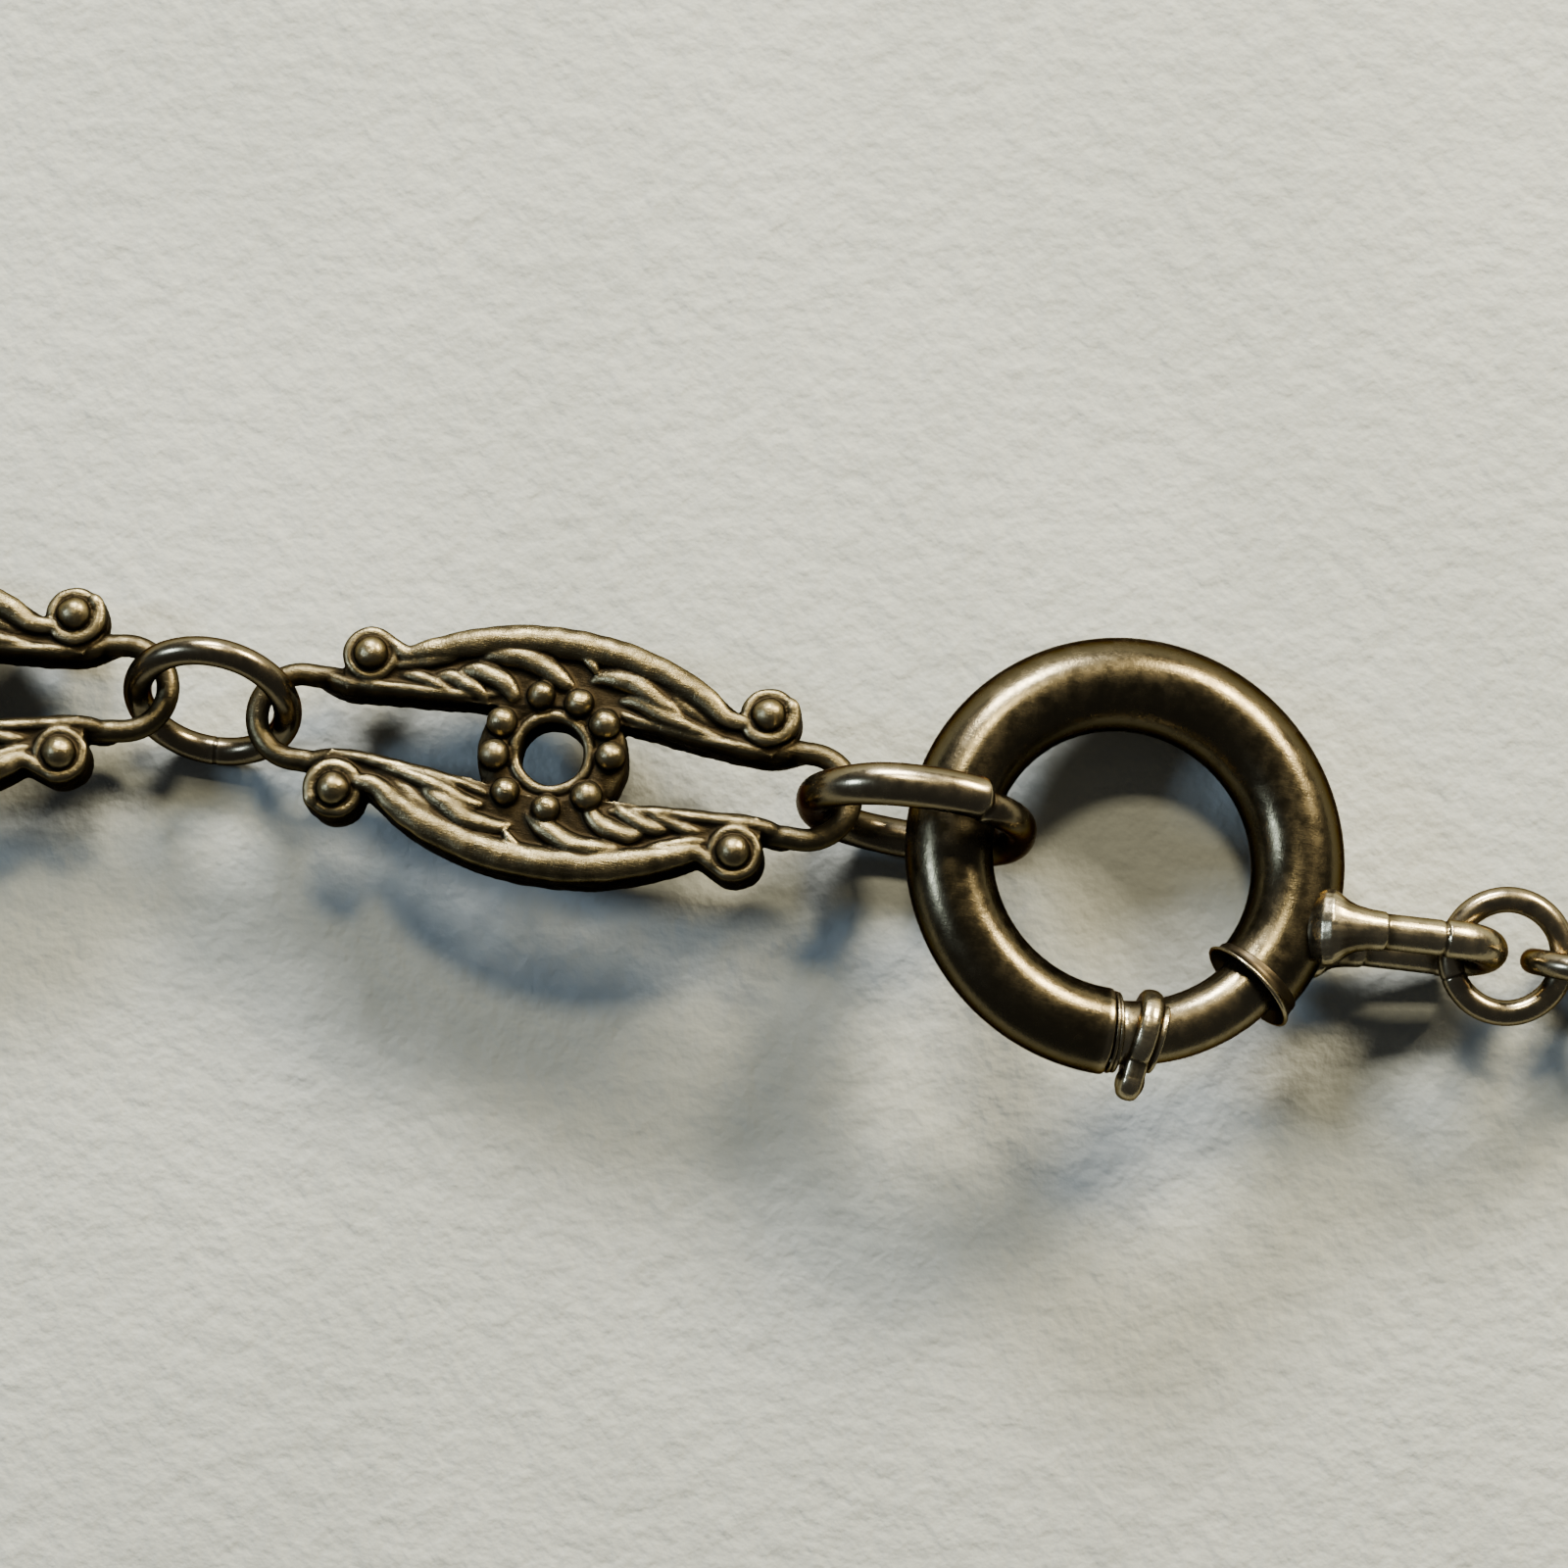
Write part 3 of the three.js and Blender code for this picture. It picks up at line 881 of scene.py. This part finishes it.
def build_ring(name, node, joint, body, size, seam, uneven=0.0, boxy=2.0, sprung=0.0):
    """A jump ring of slightly uneven wire, with the cut where its ends meet.

    uneven is how much stouter the wire is before the cut and slimmer after it. boxy above 2
    squares the ring's outline a little, as a ring that has been pulled does. sprung is how far
    the end before the cut stands out of the ring's plane.
    """
    sides, around = 36, 240
    cut = 2.2  # degrees either side of it where the ends are rounded
    radius, wire = size
    rings = []
    for i in range(around):
        a = 2 * math.pi * i / around
        turn = (math.degrees(a) - seam + 180) % 360 - 180
        r = wire * (0.985 - 0.012 * math.sin(3 * a + seam) ** 2)
        r *= 1.0 - uneven * float(smoothstep(turn + 0.5) * smoothstep((95 - turn) / 60))
        r *= 1.0 + uneven * float(smoothstep(0.5 - turn) * smoothstep((turn + 92) / 40))
        lift = sprung * float(smoothstep(0.5 - turn) * smoothstep((turn + 110) / 110))
        lift -= 0.5 * sprung * math.exp(-(((turn + 85) / 28) ** 2))
        if abs(turn) < cut:
            r *= 0.93 + 0.07 * (abs(turn) / cut) ** 0.5
        reach = (abs(math.cos(a)) ** boxy + abs(math.sin(a)) ** boxy) ** (-1 / boxy)
        centre = radius * reach * (1 - 0.004 * math.sin(2 * a + seam))
        ring = []
        for j in range(sides):
            b = 2 * math.pi * j / sides
            out = centre + r * math.cos(b)
            ring.append((out * math.cos(a), out * math.sin(a), r * math.sin(b) + lift))
        rings.append(ring)
    mesh = mesh_from(name, *loft(rings, closed=True))
    recalc(mesh)
    at = ring_place(node, joint)
    finish_piece(name, mesh, at, body, [node], WIRE, 0.15)


# ---- Cast link ----

BOTTOM = -LINK_HALF_THICKNESS
RECESS = 0.5  # height of the ground between the ornament
ARM_PELLETS = ((-6.15, 2.22), (6.5, 2.24))


def circle_path(centre, radius, start, end, width, top, count):
    """Ridge points round part of a circle."""
    out = []
    for a in np.linspace(math.radians(start), math.radians(end), count):
        out.append((centre[0] + radius * math.cos(a), centre[1] + radius * math.sin(a), width, top))
    return out


def tip_beyond(before, end):
    """A low, thin point a little past the end of a ridge, so that the ridge runs out."""
    reach, width, top = 0.24, 0.08, 0.44
    along = Vector((end[0] - before[0], end[1] - before[1])).normalized() * reach
    return (end[0] + along.x, end[1] + along.y, width, top)


def arm_parts():
    """The upper arm: plate, outer rim ending in a volute at each pellet, inner rim and leaves."""
    left, right = ARM_PELLETS
    # The plate's outline, clockwise from the left end of its inner edge.
    plate = [
        (-6.7, 1.0), (-5.1, 1.15), (-3.4, 1.2), (-2.2, 1.2), (0, 1.5), (2.3, 1.2), (4.5, 1.08),
        (5.7, 0.98), (6.8, 0.95), (7.1, 1.5), (7.1, 2.4), (6.6, 2.8), (6.0, 2.5), (5.6, 2.15),
        (5.0, 2.55), (4.2, 2.95), (3.2, 3.3), (2.0, 3.6), (0.9, 3.72), (-0.3, 3.75), (-1.6, 3.65),
        (-3.0, 3.35), (-4.3, 2.9), (-5.2, 2.6), (-5.6, 2.75), (-6.3, 2.8), (-6.8, 2.3), (-6.9, 1.6),
    ]
    parts = [slab(plate, BOTTOM, RECESS)]
    rim = [
        *circle_path(left, 0.7, 215, 62, 0.42, 0.62, 9),
        (-5.05, 2.42, 0.55, 0.7),
        (-4.2, 2.68, 0.78, 0.78),
        (-3.0, 3.08, 0.96, 0.84),
        (-1.6, 3.4, 1.04, 0.87),
        (0.0, 3.5, 1.06, 0.89),
        (1.6, 3.38, 1.02, 0.89),
        (3.2, 2.97, 0.96, 0.88),
        (4.4, 2.46, 0.84, 0.86),
        (5.2, 1.95, 0.62, 0.82),
        *circle_path(right, 0.74, 212, 395, 0.5, 0.74, 11),
        *circle_path(right, 0.7, 420, 465, 0.34, 0.6, 3),
    ]
    parts.append(ridge(rim, BOTTOM, steep=0.72))
    # The inner rim, broken by the rosette. It runs out along the eye's legs at both ends.
    inner_left = [
        (-7.85, 1.38, 0.3, 0.28), (-7.4, 1.36, 0.62, 0.38), (-6.7, 1.24, 0.7, 0.56),
        (-5.1, 1.3, 0.6, 0.62), (-3.4, 1.38, 0.54, 0.64), (-2.2, 1.55, 0.44, 0.58),
        (-1.5, 1.7, 0.2, 0.5),
    ]
    inner_right = [
        (1.5, 1.7, 0.2, 0.5), (2.1, 1.52, 0.46, 0.6), (3.3, 1.34, 0.52, 0.66),
        (4.6, 1.22, 0.56, 0.68), (5.8, 1.12, 0.6, 0.62), (6.8, 1.18, 0.66, 0.5),
        (7.4, 1.34, 0.62, 0.38), (7.85, 1.38, 0.3, 0.28),
    ]
    parts += [ridge(inner_left, BOTTOM), ridge(inner_right, BOTTOM)]
    leaves = [
        # A smooth second band inside the outer rim.
        [(-0.9, 2.95, 0.1, 0.4), (0.6, 3.06, 0.56, 0.6), (2.0, 2.92, 0.8, 0.72),
         (3.2, 2.52, 0.84, 0.76), (4.2, 1.98, 0.7, 0.72), (5.3, 1.35, 0.3, 0.56)],
        # Leaf tips, all sweeping the same way.
        [(0.55, 2.35, 0.1, 0.45), (1.3, 2.62, 0.4, 0.8), (2.2, 2.55, 0.52, 0.9),
         (3.1, 2.08, 0.48, 0.88), (4.1, 1.6, 0.2, 0.64)],
        [(1.6, 1.95, 0.12, 0.5), (2.35, 2.02, 0.42, 0.78), (3.1, 1.76, 0.46, 0.84),
         (4.1, 1.46, 0.36, 0.8), (5.4, 1.2, 0.18, 0.62)],
        [(-3.1, 2.45, 0.12, 0.45), (-2.3, 2.8, 0.46, 0.8), (-1.2, 2.84, 0.58, 0.88),
         (-0.3, 2.45, 0.5, 0.84), (0.4, 2.05, 0.28, 0.6)],
        [(-3.6, 1.95, 0.12, 0.5), (-2.85, 2.2, 0.42, 0.78), (-2.0, 2.05, 0.5, 0.82),
         (-1.45, 1.6, 0.36, 0.7)],
        [(-4.5, 1.72, 0.12, 0.5), (-3.6, 1.88, 0.38, 0.72), (-2.9, 1.7, 0.4, 0.76),
         (-2.35, 1.42, 0.3, 0.64)],
        [(-5.4, 1.7, 0.14, 0.5), (-4.6, 1.75, 0.34, 0.68), (-3.9, 1.58, 0.34, 0.7),
         (-3.3, 1.38, 0.26, 0.64)],
        # A spur by the outer rim.
        [(0.35, 3.2, 0.14, 0.74), (0.7, 3.02, 0.22, 0.82), (0.95, 2.75, 0.14, 0.74)],
        # Ribs towards the left pellet.
        [(-5.5, 1.95, 0.2, 0.56), (-4.8, 2.15, 0.34, 0.7), (-4.0, 2.42, 0.36, 0.74),
         (-3.2, 2.75, 0.22, 0.64)],
    ]
    widened, lowered = 1.45, 0.04
    for leaf in leaves:
        fuller = [(x, y, width * widened, top - lowered) for x, y, width, top in leaf]
        fuller = [tip_beyond(fuller[1], fuller[0])] + fuller + [tip_beyond(fuller[-2], fuller[-1])]
        parts.append(ridge(fuller, BOTTOM, steep=0.85))
    for x, y in ARM_PELLETS:
        parts.append(slab(round_points((x, y), 0.72, 28), BOTTOM, 0.52))
        collar = [(px, py, 0.42, 0.64) for px, py in round_points((x, y), 0.7, 14)]
        parts.append(ridge(collar, BOTTOM, 3, closed=True, steep=0.9))
        parts.append(ball((x, y, 0.6), (0.54, 0.54, 0.58)))
    return parts


def turned(part):
    """The part turned half a turn in the link's plane."""
    verts, faces = part
    return [(-x, -y, z) for x, y, z in verts], faces


def build_link_mesh():
    """Both arms, the beaded rosette between them and an eye at each end, as one casting."""
    parts = []
    for part in arm_parts():
        parts += [part, turned(part)]
    ring = [(x, y, 1.26, 0.48) for x, y in round_points((0, 0), 1.72, 24)]
    parts.append(ridge(ring, BOTTOM, 4, closed=True, steep=0.5))
    lip = [(x, y, 0.4, 0.54) for x, y in round_points((0, 0), 1.2, 24)]
    parts.append(ridge(lip, BOTTOM, 4, closed=True, steep=0.8))
    bead_angles = (5, 38, 71, 110, 157, 191, 231, 275, 318)
    for i, angle in enumerate(bead_angles):
        a = math.radians(angle)
        r = 1.84 + 0.06 * math.sin(2.3 * i)
        size = 0.47 + 0.025 * math.sin(1.7 * i)
        parts.append(ball((r * math.cos(a), r * math.sin(a), 0.52), (size, size, 0.52)))
    centre = LINK_HALF_LENGTH - LINK_EYE_WIRE - LINK_EYE_RADIUS
    start = 6.2
    eye = []
    for x in np.linspace(start, centre, 8, endpoint=False):
        eye.append((x, -LINK_EYE_RADIUS, 0))
    for a in np.linspace(-math.pi / 2, math.pi / 2, 24):
        eye.append((centre + LINK_EYE_RADIUS * math.cos(a), LINK_EYE_RADIUS * math.sin(a), 0))
    for x in np.linspace(centre, start, 9)[1:]:
        eye.append((x, LINK_EYE_RADIUS, 0))
    wire = tube_along(eye, LINK_EYE_WIRE - 0.035, 20)
    parts += [wire, turned(wire)]
    return fuse("cast_link", parts, 0.05, 9)


def painted_shade_below_face(co):
    """Painted shade over all of the casting below the ornament's raised tops: the sunken ground,
    the walls and the eyes.
    """
    return 0.42 * smoothstep((0.68 - co[:, 2]) / 0.16)


def build_links():
    base = build_link_mesh()
    roughen(base, 0.55, 0.03)
    eye_end = LINK_HALF_LENGTH - 2 * LINK_EYE_WIRE - SLACK
    reach_clasp = eye_end - CLASP_RING[1]
    reach_link = eye_end - LINK_RING[1]
    near = link_place("near_link_turn", "link_ring_swing", reach_clasp, "near_link_back")
    far = link_place("far_link_turn", "end_ring_swing", reach_link, "far_link_back")
    for name, at, body, node in (
        ("near_link_cast", near, "near_link", "near_cast_link"),
        ("far_link_cast", far, "far_link", "far_cast_link"),
    ):
        # The last argument paints shade on the low parts of the casting.
        finish_piece(name, base.copy(), at, body, [node], CAST, 0.22, painted_shade_below_face)


# ---- Stage ----


def build_paper(middle, floor):
    """Watercolour paper: a faint drift of tint, a felt of fibres and a finer pulp."""
    n = Nodes("paper")
    tint = n.noise(14.0, 3.0)
    fibre = n.noise(0.9, 2.5, 0.5)
    pulp = n.noise(0.3, 2.0, 0.5)
    shades = (rgb(0.255, 0.275, 0.265), rgb(0.285, 0.305, 0.295))
    n.link(n.mix(n.ramp(tint, 0.35, 0.65), *shades), n.shader.inputs["Base Color"])
    n.shader.inputs["Roughness"].default_value = 0.95
    n.shader.inputs["Specular IOR Level"].default_value = 0.1
    bumpy = n.bump(fibre, 0.6, 0.22)
    n.link(n.bump(pulp, 0.5, 0.06, bumpy), n.shader.inputs["Normal"])
    size = PAPER_HALF_SIZE * MM
    verts = [(-size, -size, 0), (size, -size, 0), (size, size, 0), (-size, size, 0)]
    paper = new_object("paper", mesh_from("paper", verts, [(0, 1, 2, 3)]))
    paper.location = (middle.x, middle.y, floor)
    paper.data.materials.append(n.material)


def build_lights(middle):
    """Window light from above the photograph's top edge, a warm lamp and a cool fill."""
    roll = math.radians(CAMERA_ROLL)
    right = Vector((math.cos(roll), math.sin(roll), 0))
    up = Vector((-right.y, right.x, 0))
    for name, (rightwards, upwards, elevation), size_mm, watts, colour in LIGHTS:
        flat = (right * rightwards + up * upwards).normalized()
        e = math.radians(elevation)
        offset = (flat * math.cos(e) + Vector((0, 0, math.sin(e)))) * LIGHT_DISTANCE
        data = bpy.data.lights.new(name, "AREA")
        data.shape = "RECTANGLE"
        data.size, data.size_y = (s * MM for s in size_mm)
        data.energy = watts
        data.color = colour
        lamp = bpy.data.objects.new(name, data)
        lamp.location = middle + offset * MM
        lamp.rotation_mode = "QUATERNION"
        lamp.rotation_quaternion = (middle - lamp.location).to_track_quat("-Z", "Y")
        bpy.context.scene.collection.objects.link(lamp)


def build_room():
    world = bpy.data.worlds.new("room")
    world.use_nodes = True
    background = world.node_tree.nodes["Background"]
    background.inputs[0].default_value = ROOM_GREY
    background.inputs[1].default_value = 1.0
    bpy.context.scene.world = world


def build_stage():
    low, high = cad_box
    middle = (Vector(low) + Vector(high)) / 2
    build_paper(middle, low[2])
    build_lights(middle)
    build_room()


# ---- Camera ----


def build_camera():
    data = bpy.data.cameras.new("camera")
    data.sensor_width = SENSOR_WIDTH
    data.lens = data.sensor_width * (CAMERA_HEIGHT - LOOK_AT[2]) / FRAME_WIDTH
    data.clip_start = 0.005
    data.clip_end = 5.0
    camera = bpy.data.objects.new("camera", data)
    camera.location = (LOOK_AT[0] * MM, LOOK_AT[1] * MM, CAMERA_HEIGHT * MM)
    camera.rotation_euler = (0, 0, math.radians(CAMERA_ROLL))
    bpy.context.scene.collection.objects.link(camera)
    bpy.context.scene.camera = camera


build_camera()
build_stage()
clasp = clasp_place()
build_bolt_ring(clasp)
build_thumb(clasp)
build_eye(clasp)
build_links()
pulled = {"uneven": 0.12, "boxy": 2.5, "sprung": 0.2}
for node, joint, body, size, seam, shape in (
    ("clasp_jump_ring", "clasp_ring_swing", "clasp_ring", CLASP_RING, -58, pulled),
    ("link_jump_ring", "link_ring_swing", "link_ring", LINK_RING, 275, {}),
    ("end_jump_ring", "end_ring_swing", "end_ring", LINK_RING, 100, {}),
    ("eye_ring", "eye_ring_turn", "eye_ring", SMALL_RING, 210, {}),
    ("standing_ring", "standing_ring_swing", "standing_ring", SMALL_RING, 80, {}),
    ("last_ring", "last_ring_turn", "last_ring", SMALL_RING, 330, {}),
):
    build_ring(body + "_wire", node, joint, body, size, seam, **shape)
